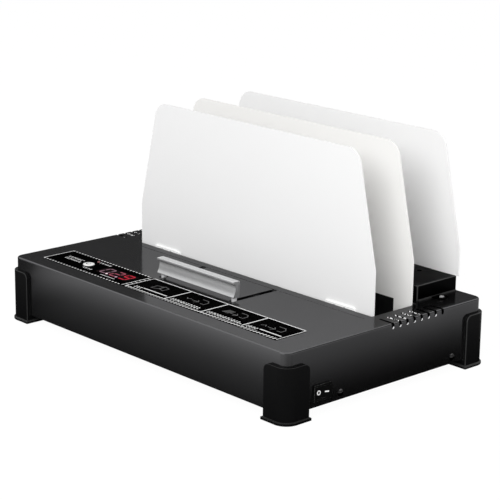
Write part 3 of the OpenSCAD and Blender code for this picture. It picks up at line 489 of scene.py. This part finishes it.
looks = {
    "case_paint": case_paint(),
    "housing_paint": housing_paint(),
    "base_paint": satin_paint("base_paint", (0.008, 0.008, 0.0085)),
    "foot_plastic": moulding("foot_plastic", (0.004, 0.004, 0.0042), 0.4, height=8e-6, specular=0.08),
    "rubber": moulding("rubber", (0.01, 0.01, 0.01), 0.8, height=30e-6, specular=0.2),
    "screw_steel": metal("screw_steel", (0.5, 0.5, 0.51), 0.3),
    "screw_black": metal("screw_black", (0.15, 0.15, 0.15), 0.16, height=0.2e-6),
    "bright_steel": metal("bright_steel", (0.85, 0.86, 0.87), 0.3, height=0.3e-6),
    "overlay_film": overlay_film(),
    "display_lens": lens(),
    "dark_plastic": moulding("dark_plastic", (0.004, 0.004, 0.004), 0.42, specular=0.1),
    "rocker_plastic": moulding("rocker_plastic", (0.003, 0.003, 0.003), 0.3, height=4e-6, specular=0.1),
    "lamp_red": lamp(),
    "button_white": moulding("button_white", (0.8, 0.8, 0.79), 0.3, height=4e-6),
    "circuit_board": board_laminate(),
    "standoff_metal": metal("standoff_metal", (0.6, 0.6, 0.62), 0.3),
    "pin_brass": metal("pin_brass", (0.75, 0.58, 0.28), 0.25),
    "handle_metal": handle_metal(),
    # Near black: its dark is partly painted shade inside the opening over the heater
    "carriage_steel": metal("carriage_steel", (0.03, 0.03, 0.032), 0.4),
    "bush_plastic": moulding("bush_plastic", (0.7, 0.66, 0.55), 0.45),
    "board_paint": board_paint("board_paint", (0.86, 0.86, 0.86)),
    "insulation": fibre(),
    "element_sheath": moulding("element_sheath", (0.3, 0.24, 0.15), 0.6),
    # Dark grey: partly painted shade inside the opening over the heater
    "heater_metal": metal("heater_metal", (0.10, 0.10, 0.11), 0.45, height=6e-6, scale=300),
    "spacer_ceramic": moulding("spacer_ceramic", (0.8, 0.78, 0.72), 0.7),
    "thermostat_metal": metal("thermostat_metal", (0.65, 0.66, 0.67), 0.3),
    "transformer_iron": moulding("transformer_iron", (0.1, 0.1, 0.11), 0.5, height=40e-6),
    "relay_plastic": moulding("relay_plastic", (0.03, 0.09, 0.3), 0.35),
}
# Looks of single nodes, in place of their slot's
node_looks = {
    "handle_posts": material("post_nickel", (0.92, 0.92, 0.93), roughness=0.3, metallic=0.45),
    "housing_screws": metal("screw_dark", (0.30, 0.30, 0.303), 0.14),
    "middle_board": board_paint("board_cream", (0.865, 0.86, 0.844)),
    "board_brackets": moulding("bracket_white", (0.96, 0.96, 0.955), 0.4, height=4e-6),
}
white_ink = ink("white_ink", (0.78, 0.78, 0.78))
grey_ink = ink("grey_ink", (0.085, 0.085, 0.085))
mark_ink = ink("mark_ink", (0.82, 0.82, 0.82))
key_ink = ink("key_grey", (0.04, 0.04, 0.042))
# Paler edges of the housing, its bends and hems, the feet and the switch: painted highlight lines
housing_highlight = edge_highlight("housing_highlight", 0.036)
foot_highlight = edge_highlight("foot_highlight", 0.028)
switch_highlight = edge_highlight("switch_highlight", 0.2)


def node_look(node):
    """A node's own material, or else the material of its slot."""
    return node_looks.get(node, looks[node_slot[node]])


def dress_nodes():
    """Gives every CAD node its material."""
    for name, node in nodes.items():
        node.data.materials.clear()
        node.data.materials.append(node_look(name))


# Pieces


def add_piece(name, bm, materials, body):
    """A piece that rides a body; normals that came with a CAD mesh are dropped."""
    mesh = bpy.data.meshes.new(name)
    bm.to_mesh(mesh)
    bm.free()
    custom = mesh.attributes.get("custom_normal")
    if custom:
        mesh.attributes.remove(custom)
    for mat in materials:
        mesh.materials.append(mat)
    piece = bpy.data.objects.new(name, mesh)
    scene.collection.objects.link(piece)
    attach(piece, body)
    return piece


def welded(node):
    """A node's mesh with its seams welded and its flat faces joined."""
    bm = bmesh.new()
    bm.from_mesh(nodes[node].data)
    bmesh.ops.remove_doubles(bm, verts=bm.verts, dist=NODE_WELD * mm)
    bmesh.ops.dissolve_limit(bm, angle_limit=FLAT_ANGLE, verts=bm.verts, edges=bm.edges)
    for face in bm.faces:
        face.material_index = 0
        face.smooth = True
    return bm


def soften(node, width, edge=None, segments=ROUND_STEPS, bm=None, more=()):
    """A copy of a node with its sharp edges rounded, which stands for the node.

    edge is a look for those edges, bm a mesh in place of the node's, more its further looks.
    """
    materials = [node_look(node), *more]
    if edge:
        materials.append(edge)
    mesh = bm or welded(node)
    piece = add_piece(node + "_soft", mesh, materials, node_body[node])
    piece.data.set_sharp_from_angle(angle=SHARP_ANGLE)
    bevel = piece.modifiers.new("soft_edge", "BEVEL")
    bevel.width = width * mm
    bevel.segments = segments
    bevel.limit_method = "ANGLE"
    bevel.angle_limit = ROUND_ANGLE
    bevel.use_clamp_overlap = True
    if edge:
        bevel.material = len(materials) - 1
    shade = piece.modifiers.new("even_shade", "WEIGHTED_NORMAL")
    shade.keep_sharp = True
    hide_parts(node)


def vent_wall(face, corner):
    """Whether a face of the case is a cut wall of its vents; corner is the high end of its box."""
    at = face.calc_center_median()
    inwards = corner.x - abs(at.x)
    down = corner.z - at.z
    if inwards > VENT_IN * mm or down > VENT_DOWN * mm or abs(at.y) > VENT_REACH * mm:
        return False
    lies_flat = abs(face.normal.z) > FACING and abs(face.normal.y) < LEANING
    on_top = lies_flat and down < CASE_SKIN * mm
    on_side = abs(face.normal.x) > LEANING and inwards < CASE_SKIN * mm
    return not on_top and not on_side


def case_with_vents():
    """The case, with painted highlight specks along its vents and painted glints at their lower ends."""
    bm = welded("upper_case")
    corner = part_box("upper_case")[1]
    end_z = corner.z - (VENT_DOWN - VENT_GLINT) * mm
    bend_x = corner.x - VENT_BEND * mm
    for at, facing in ((end_z, (0, 0, 1)), (bend_x, (1, 0, 0)), (-bend_x, (1, 0, 0))):
        walls = [face for face in bm.faces if vent_wall(face, corner)]
        corners = {v for face in walls for v in face.verts}
        edges = {e for face in walls for e in face.edges}
        cut = [*walls, *edges, *corners]
        bmesh.ops.bisect_plane(bm, geom=cut, plane_co=at * Vector(facing), plane_no=facing)
    black, glinting, specked = 1, 2, 3
    for face in bm.faces:
        if not vent_wall(face, corner):
            continue
        at = face.calc_center_median()
        in_speck_part = SPECKS_FROM * mm < at.y < SPECKS_TO * mm and abs(at.x) < bend_x
        face.material_index = black
        # Lower ends of the vents, up to the last one that glints, get painted glints
        if at.z < end_z and at.y < VENT_GLINT_LAST * mm:
            face.material_index = glinting
        # Forward-facing cut walls of the middle vents get painted highlight specks
        elif in_speck_part and face.normal.y < -FACING:
            face.material_index = specked
    wall_looks = [looks["housing_paint"], painted_glint_edge(), painted_speck_edge()]
    soften("upper_case", CASE_ROUND, bm=bm, more=wall_looks)


def housing_with_bends():
    """The rear housing, paler along its bends: a painted highlight."""
    bm = welded("rear_housing")
    low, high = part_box("rear_housing")
    reach = (high.x - low.x) / 2 - HOUSING_LUG * mm
    for face in bm.faces:
        at = face.calc_center_median()
        in_hole = face.normal.z == 0 and at.z > high.z - HOUSING_SKIN * mm
        out = abs(at.x - (low.x + high.x) / 2)
        steep = sorted(abs(part) for part in face.normal)
        if steep[1] > BENT and out < reach + BEND_SLACK * mm and not in_hole:
            face.material_index = 1
    soften("rear_housing", HOUSING_ROUND, bm=bm, more=[housing_highlight])


def housing_hems():
    """Turned hem along the foot of each end of the rear housing, in the paler edge colour: a painted highlight
    line.
    """
    low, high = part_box("rear_housing")
    size = (2 * HEM_OUT * mm, high.y - low.y - HEM_SHORT * mm, HEM_T * mm, 1)
    for side, x in (("left", low.x + HOUSING_LUG * mm), ("right", high.x - HOUSING_LUG * mm)):
        bm = bmesh.new()
        bmesh.ops.create_cube(bm, size=1.0)
        bm.transform(Matrix.Diagonal(size))
        bm.transform(Matrix.Translation((x, (low.y + high.y) / 2, low.z + HEM_T * mm / 2)))
        add_piece("housing_hem_" + side, bm, [housing_highlight], "chassis")


# Flat marks, as lists of outlines in millimetres


def bar(x0, y0, x1, y1):
    """A rectangle between two corners."""
    return [[(x0, y0), (x1, y0), (x1, y1), (x0, y1)]]


def ribbon(points, width, closed=False):
    """A line of even width with mitred corners."""
    path = [Vector(p) for p in points]
    count = len(path)
    sides = []
    for i, here in enumerate(path):
        before = path[i - 1] if i or closed else None
        after = path[(i + 1) % count] if i + 1 < count or closed else None
        ahead = (after - here).normalized() if after else (here - before).normalized()
        behind = (here - before).normalized() if before else ahead
        along = (ahead + behind).normalized()
        across = Vector((-along.y, along.x))
        reach = width / 2 / max(MITRE_LEAST, across.dot(Vector((-ahead.y, ahead.x))))
        sides.append((here + across * reach, here - across * reach))
    if closed:
        sides.append(sides[0])
    return [[here[0], here[1], after[1], after[0]] for here, after in zip(sides, sides[1:])]


def arc(x, y, r, start, end, steps=24):
    """Points along an arc, angles in degrees."""
    angles = [math.radians(start + (end - start) * i / steps) for i in range(steps + 1)]
    return [(x + r * math.cos(a), y + r * math.sin(a)) for a in angles]


def circle(x, y, r):
    """Points round a circle."""
    return arc(x, y, r, 0, 360)[:-1]


def dashes(x0, x1, y, length, pitch, height, slant=0.0):
    """A row of dashes; slant leans them as a twisted cord's strands lean."""
    low, high = y - height / 2, y + height / 2
    outlines = []
    for i in range(int((x1 - x0) / pitch)):
        x = x0 + i * pitch
        end = x + length
        outlines.append([(x, low), (end, low), (end + slant, high), (x + slant, high)])
    return outlines


def shifted(points, x, y):
    """Points moved from a centre at zero to another."""
    return [(x + u, y + v) for u, v in points]


def flat_piece(name, outlines, look, body, place):
    """Thin closed plates of ink, laid on a surface by a matrix."""
    bm = bmesh.new()
    for outline in outlines:
        bm.faces.new([bm.verts.new((p[0] * mm, p[1] * mm, INK_GAP * mm)) for p in outline])
    bmesh.ops.remove_doubles(bm, verts=bm.verts, dist=INK_WELD * mm)
    bmesh.ops.recalc_face_normals(bm, faces=bm.faces)
    bmesh.ops.solidify(bm, geom=bm.faces[:], thickness=-INK_T * mm)
    bmesh.ops.recalc_face_normals(bm, faces=bm.faces)
    bm.transform(place)
    return add_piece(name, bm, [look], body)


# Control strip


def control_print():
    """Borders, captions and pictures of the control panel."""
    low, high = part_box("control_overlay")
    place = Matrix.Translation((0, (low.y + high.y) / 2, high.z))
    left, right = low.x / mm + PRINT_IN, high.x / mm - PRINT_IN
    rear = (high.y - low.y) / 2 / mm - PRINT_IN
    front = -rear

    border = []
    for x in (left, LADDER_LEFT, LADDER_RIGHT, right):
        border += ribbon([(x, front), (x, rear)], PRINT_LINE)
    for y in (front, rear):
        border += dashes(left, LADDER_LEFT, y, *CONTROL_DASHES)
    for i in range(1, LADDER_GAPS):
        y = front + (rear - front) * i / LADDER_GAPS
        border += ribbon([(LADDER_LEFT, y), (LADDER_RIGHT, y)], PRINT_LINE)
    border += dashes(LADDER_RIGHT, right, rear - REAR_DASHES_IN, *REAR_DASHES)
    border += dashes(LADDER_RIGHT, right, front + CORD_IN, *CORD_DASHES)
    for x in CELL_LINES:
        border += ribbon([(x, front + CELL_LINE_SHORT), (x, rear)], CELL_LINE_W)
    flat_piece("panel_border", border, white_ink, "chassis", place)

    captions = []
    for row in CAPTIONS:
        captions += caption(*row)
    for corners in CAPTION_BARS:
        captions += bar(*corners)
    flat_piece("panel_captions", captions, white_ink, "chassis", place)
    flat_piece("panel_pictures", pictures(), grey_ink, "chassis", place)


def caption(x0, x1, y, height):
    """Two rows of short bars of uneven length, where a printed panel has its small words."""
    outlines = []
    half = WORD_TALL * height / 2
    for row, level in enumerate((y - WORD_ROW * height, y + WORD_ROW * height)):
        x, i = x0, 2 * row
        while x + WORDS[i % len(WORDS)] <= x1:
            length = WORDS[i % len(WORDS)]
            outlines += bar(x, level - half, x + length, level + half)
            x += length + WORD_GAP
            i += 1
    return outlines


def pictures():
    """Small line pictures of the four steps: open the clamp, load, bind, cool."""
    lines = []
    for page in (LEFT_PAGE, RIGHT_PAGE):
        lines += ribbon(shifted(page, *OPEN_CELL), PICTURE_LINE, closed=True)
    for cell in (LOAD_CELL, BIND_CELL, COOL_CELL):
        for stroke in (ARROW_SHAFT, ARROW_HEAD, BRACKET):
            lines += ribbon(shifted(stroke, *cell), PICTURE_LINE)
    lines += ribbon(shifted(LOAD_CHEVRON, *LOAD_CELL), PICTURE_LINE)
    lines += ribbon(shifted(COOL_CHEVRON, *COOL_CELL), PICTURE_LINE)
    x, y = BIND_CELL
    for i in range(HATCH_COUNT):
        lines += ribbon(shifted(HATCH, x + HATCH_PITCH * i, y), HATCH_LINE)
    return lines


def digit(x, y, figure):
    """Seven-segment figure centred on x, y, leaning a little as such figures do."""
    outlines = []
    half = FIGURE_LINE / 2
    for name in DIGITS[figure]:
        across, up, upright = SEGMENTS[name]
        tip = ((FIGURE_HALF_H if upright else FIGURE_HALF_W * 2) - FIGURE_GAP) / 2
        end = tip - half
        shape = [(-tip, 0), (-end, -half), (end, -half), (tip, 0), (end, half), (-end, half)]
        if upright:
            shape = [(-v, u) for u, v in shape]
        shape = shifted(shape, across * FIGURE_HALF_W, up * FIGURE_HALF_H)
        outlines.append([(x + u + FIGURE_LEAN * v, y + v) for u, v in shape])
    return outlines


def display():
    """Lit figures and points on the display's lens."""
    low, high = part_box("display_lens")
    place = Matrix.Translation((0, 0, high.z))
    x, y = (low.x + high.x) / 2 / mm, (low.y + high.y) / 2 / mm
    for figure, offset, colour in FIGURES:
        name = "digit_" + figure
        outlines = digit(x + offset, y, figure)
        shown = flat_piece(name, outlines, glow(name, colour), "chassis", place)
        # Real figures lie deep behind the lens, where nothing around them mirrors them
        shown.visible_glossy = False
    for label, offset, colour in POINTS:
        name = "point_" + label
        outlines = [circle(x + offset, y - POINT_DOWN, POINT_R)]
        flat_piece(name, outlines, glow(name, colour), "chassis", place)


def lathe(profile, x, y, steps=64):
    """Turns a profile of (radius, height) round an upright axis."""
    bm = bmesh.new()
    turns = [2 * math.pi * i / steps for i in range(steps)]
    rows = []
    for radius, z in profile:
        if radius == 0:
            rows.append([bm.verts.new((x, y, z))] * steps)
            continue
        around = [(x + radius * math.cos(a), y + radius * math.sin(a), z) for a in turns]
        rows.append([bm.verts.new(point) for point in around])
    for lower, upper in zip(rows, rows[1:]):
        for i in range(steps):
            j = (i + 1) % steps
            corners = []
            for v in (lower[i], lower[j], upper[j], upper[i]):
                if v not in corners:
                    corners.append(v)
            bm.faces.new(corners)
    bmesh.ops.recalc_face_normals(bm, faces=bm.faces)
    for face in bm.faces:
        face.smooth = True
    return bm


def start_button():
    """White key with a rounded edge and a low crown, and its flange and stem below."""
    low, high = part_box("start_button")
    overlay_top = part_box("control_overlay")[1].z
    x, y = (low.x + high.x) / 2, (low.y + high.y) / 2
    flange_r = (high.x - low.x) / 2
    stem_r, edge, crown = KEY_STEM_R * mm, KEY_EDGE * mm, KEY_CROWN * mm
    cap_r = flange_r - KEY_FLANGE_W * mm
    flange_top = overlay_top - KEY_FLANGE_DOWN * mm
    flange_low = flange_top - KEY_FLANGE_T * mm
    profile = [(0, low.z), (stem_r, low.z), (stem_r, flange_low), (flange_r, flange_low)]
    profile += [(flange_r, flange_top), (cap_r, flange_top)]
    rim = high.z - crown - edge
    for i in range(KEY_STEPS + 1):
        a = math.radians(90 * i / KEY_STEPS)
        profile.append((cap_r - edge + edge * math.cos(a), rim + edge * math.sin(a)))
    for i in range(1, KEY_STEPS + 1):
        share = i / KEY_STEPS
        rise = crown * math.sin(share * math.pi / 2)
        profile.append(((cap_r - edge) * (1 - share), rim + edge + rise))
    turned = lathe(profile, x, y)
    key = add_piece("start_key", turned, [looks["button_white"]], "start_key")
    key.data.set_sharp_from_angle(angle=KEY_SHARP_ANGLE)
    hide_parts("start_button")
    marks = ribbon(arc(*MARK_ARC), MARK_LINE) + ribbon(MARK_STROKE, MARK_LINE)
    place = Matrix.Translation((x, y, high.z - MARK_SINK * mm))
    flat_piece("start_mark", marks, key_ink, "start_key", place)


# Power switch


def rocker_marks():
    """A ring and a dash, each on its half of the rocker's face."""
    pivot = next(joint for joint in frame["joints"] if joint["name"] == "rocker_tilt")["pos_m"]
    tilt = Matrix.Translation(pivot) @ Matrix.Rotation(ROCKER_REST, 4, "Z")
    slope = math.atan2(ROCKER_END - ROCKER_VALLEY, ROCKER_REACH)
    out = (ROCKER_VALLEY + ROCKER_END) / 2 * mm
    # Turns marks drawn flat to face +X with their tops up
    upright = Matrix(((0, 0, 1, 0), (1, 0, 0, 0), (0, 1, 0, 0), (0, 0, 0, 1)))
    off_ring = ribbon(circle(0, 0, OFF_RING_R), OFF_RING_LINE, closed=True)
    for name, side, shape in (("off", -1, off_ring), ("on", 1, bar(*ON_DASH))):
        spot = Matrix.Translation((out, side * ROCKER_REACH / 2 * mm, 0))
        face = Matrix.Rotation(-side * slope, 4, "Z")
        place = tilt @ spot @ face @ upright
        flat_piece("rocker_mark_" + name, shape, mark_ink, "rocker", place)


# Stage


def emission(tree, strength):
    """White light of a given strength."""
    node = tree.nodes.new("ShaderNodeEmission")
    node.inputs["Color"].default_value = (1, 1, 1, 1)
    node.inputs["Strength"].default_value = strength
    return node


def seen_directly(tree):
    """1 for rays from the camera, off gloss and through glass, 0 for the rest."""
    path = tree.nodes.new("ShaderNodeLightPath")
    total = path.outputs["Is Camera Ray"]
    for ray in ("Is Glossy Ray", "Is Transmission Ray"):
        add = tree.nodes.new("ShaderNodeMath")
        add.operation = "ADD"
        add.use_clamp = True
        tree.links.new(total, add.inputs[0])
        tree.links.new(path.outputs[ray], add.inputs[1])
        total = add.outputs[0]
    return total


def white_world():
    """Surroundings that show white and light the set more dimly."""
    world = bpy.data.worlds.new("studio")
    scene.world = world
    world.use_nodes = True
    tree = world.node_tree
    shade = tree.nodes["Background"]
    ranged = tree.nodes.new("ShaderNodeMapRange")
    ranged.inputs["To Min"].default_value = AMBIENT
    ranged.inputs["To Max"].default_value = 1.0
    tree.links.new(seen_directly(tree), ranged.inputs["Value"])
    tree.links.new(ranged.outputs["Result"], shade.inputs["Strength"])
    shade.inputs["Color"].default_value = (1, 1, 1, 1)


def stage_object(name, bm, mat):
    """A thing of the set that isn't part of the machine."""
    mesh = bpy.data.meshes.new(name)
    bm.to_mesh(mesh)
    bm.free()
    mesh.materials.append(mat)
    piece = bpy.data.objects.new(name, mesh)
    scene.collection.objects.link(piece)
    return piece


def floor():
    """Pale floor that shows white, with a share of its lit surface left so that shadows stay."""
    mat = bpy.data.materials.new("floor")
    mat.use_nodes = True
    tree = mat.node_tree
    tree.nodes.clear()
    out = tree.nodes.new("ShaderNodeOutputMaterial")
    lit = tree.nodes.new("ShaderNodeBsdfDiffuse")
    lit.inputs["Color"].default_value = (FLOOR_ALBEDO, FLOOR_ALBEDO, FLOOR_ALBEDO, 1)
    white = emission(tree, FLOOR_WHITE)
    shown = tree.nodes.new("ShaderNodeMixShader")
    shown.inputs["Fac"].default_value = FLOOR_SHADOW
    tree.links.new(white.outputs[0], shown.inputs[1])
    tree.links.new(lit.outputs[0], shown.inputs[2])
    choose = tree.nodes.new("ShaderNodeMixShader")
    tree.links.new(seen_directly(tree), choose.inputs["Fac"])
    tree.links.new(lit.outputs[0], choose.inputs[1])
    tree.links.new(shown.outputs[0], choose.inputs[2])
    tree.links.new(choose.outputs[0], out.inputs["Surface"])
    bm = bmesh.new()
    bmesh.ops.create_grid(bm, x_segments=1, y_segments=1, size=FLOOR_SIZE / 2)
    stage_object("floor", bm, mat)


def gloss_only(piece):
    """Makes a thing a studio flag: it is seen in reflections and nowhere else."""
    piece.visible_camera = False
    piece.visible_diffuse = False
    piece.visible_transmission = False
    piece.visible_shadow = False


def flag_material(name, strength):
    """Plain light of its own, and the socket of its strength."""
    mat = bpy.data.materials.new(name)
    mat.use_nodes = True
    tree = mat.node_tree
    tree.nodes.clear()
    out = tree.nodes.new("ShaderNodeOutputMaterial")
    light = emission(tree, strength)
    tree.links.new(light.outputs[0], out.inputs["Surface"])
    return mat, light.inputs["Strength"]


def curved_flag(name, first, last, top, strength):
    """Grey curved card round the set, which keeps the polished black case dark."""
    mat, _ = flag_material(name, strength)
    bm = bmesh.new()
    posts = []
    for degrees in range(first, last + 1, FLAG_STEP):
        a = math.radians(degrees)
        foot = (FLAG_RADIUS * math.cos(a), FLAG_RADIUS * math.sin(a))
        posts.append((bm.verts.new((*foot, 0)), bm.verts.new((*foot, top))))
    for here, after in zip(posts, posts[1:]):
        bm.faces.new((here[0], after[0], after[1], here[1]))
    gloss_only(stage_object(name, bm, mat))


def card_level(table, place):
    """Value at a place in a table of (place, value), straight lines between."""
    for (near, dark), (far, light) in zip(table, table[1:]):
        if place <= far:
            return dark + (light - dark) * max(0, place - near) / (far - near)
    return table[-1][1]


def card_shade(x, y, half_w, half_d):
    """Brightness of the floor card at a place in millimetres, lower off the case's corners."""
    aside, ahead = max(0, abs(x) - half_w), max(0, abs(y) - half_d)
    reach = math.hypot(aside, ahead)
    turn = math.atan2(aside, ahead) / (math.pi / 2)
    shade = (1 - turn) * card_level(CARD_AHEAD, reach) + turn * card_level(CARD_ASIDE, reach)
    left = 1.0
    mirrored = x - math.tan(CAMERA_AZIMUTH) * min(0, y + half_d)
    if mirrored < -half_w:
        return CARD_LEFT
    if y < -half_d:
        left = card_level(CARD_WALL, mirrored)
    if x > half_w:
        left *= card_level(CARD_SIDE, y - (x - half_w) / math.tan(CAMERA_AZIMUTH))
    # The corner's wall that mirrors this place faces midway between it and the camera
    bearing = math.degrees(math.atan2(y + half_d, x - half_w)) % 360
    corner = ((bearing - 270 + math.degrees(CAMERA_AZIMUTH)) % 360) / 2
    if corner < 90:
        left *= card_level(CARD_CORNER, corner)
    near = max(0, 1 - reach / CARD_FADE)
    return shade * (1 - near * (1 - left))


def floor_shade_card():
    """Card under the machine, seen only in reflections, dark by its walls as painted shade of the floor there, and
    fading out over the floor.
    """
    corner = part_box("upper_case")[1]
    mat, strength = flag_material("floor_shade_card", 1.0)
    tree = mat.node_tree
    shade = tree.nodes.new("ShaderNodeAttribute")
    shade.attribute_name = "shade"
    tree.links.new(shade.outputs["Fac"], strength)
    bm = bmesh.new()
    bmesh.ops.create_grid(bm, x_segments=CARD_STEPS, y_segments=CARD_STEPS, size=CARD_SIZE / 2)
    layer = bm.verts.layers.float.new("shade")
    for v in bm.verts:
        v[layer] = card_shade(v.co.x / mm, v.co.y / mm, corner.x / mm, corner.y / mm)
        v.co.z = CARD_LIFT * mm
    gloss_only(stage_object("floor_shade_card", bm, mat))


def area_light(name, place, size, power):
    """Round soft lamp aimed at the machine, not mirrored in it."""
    light = bpy.data.lights.new(name, "AREA")
    light.shape = "DISK"
    light.size = size
    light.energy = power
    lamp_object = bpy.data.objects.new(name, light)
    scene.collection.objects.link(lamp_object)
    lamp_object.location = place
    aim = Vector(LAMP_TARGET) - Vector(place)
    lamp_object.rotation_euler = aim.to_track_quat("-Z", "Y").to_euler()
    lamp_object.visible_glossy = False


def camera():
    """Looks from the fitted eye point along the fitted angles."""
    a, e = CAMERA_AZIMUTH, CAMERA_ELEVATION
    back = Vector((math.sin(a) * math.cos(e), -math.cos(a) * math.cos(e), math.sin(e)))
    right = Vector((0, 0, 1)).cross(back).normalized()
    up = back.cross(right)
    axes = Matrix((right, up, back)).transposed().to_4x4()
    data = bpy.data.cameras.new("camera")
    data.lens = CAMERA_LENS
    data.sensor_width = CAMERA_SENSOR
    eye = bpy.data.objects.new("camera", data)
    scene.collection.objects.link(eye)
    eye.matrix_world = Matrix.Translation(CAMERA_EYE) @ axes @ Matrix.Rotation(CAMERA_ROLL, 4, "Z")
    scene.camera = eye


# Machine

dress_nodes()
case_with_vents()
housing_with_bends()
housing_hems()
for board in ("front_board", "middle_board", "rear_board"):
    soften(board, BOARD_ROUND, segments=FINE_ROUND_STEPS)
# Feet get painted highlight lines on their rounded edges
for corner in ("front_left", "front_right", "rear_left", "rear_right"):
    soften("foot_" + corner, FOOT_ROUND, foot_highlight, segments=FINE_ROUND_STEPS)
soften("clamp_handle", HANDLE_ROUND, segments=FINE_ROUND_STEPS)
# Switch housing gets painted highlight lines on its rounded edges
soften("switch_housing", SWITCH_ROUND, switch_highlight)
soften("rocker_paddle", ROCKER_ROUND)
soften("power_inlet", INLET_ROUND)
control_print()
display()
start_button()
rocker_marks()

# Set, lamps and camera

white_world()
floor()
for flag in FLAGS:
    curved_flag(*flag)
floor_shade_card()
for light in LAMPS:
    area_light(*light)
camera()
scene.view_settings.view_transform = "Standard"
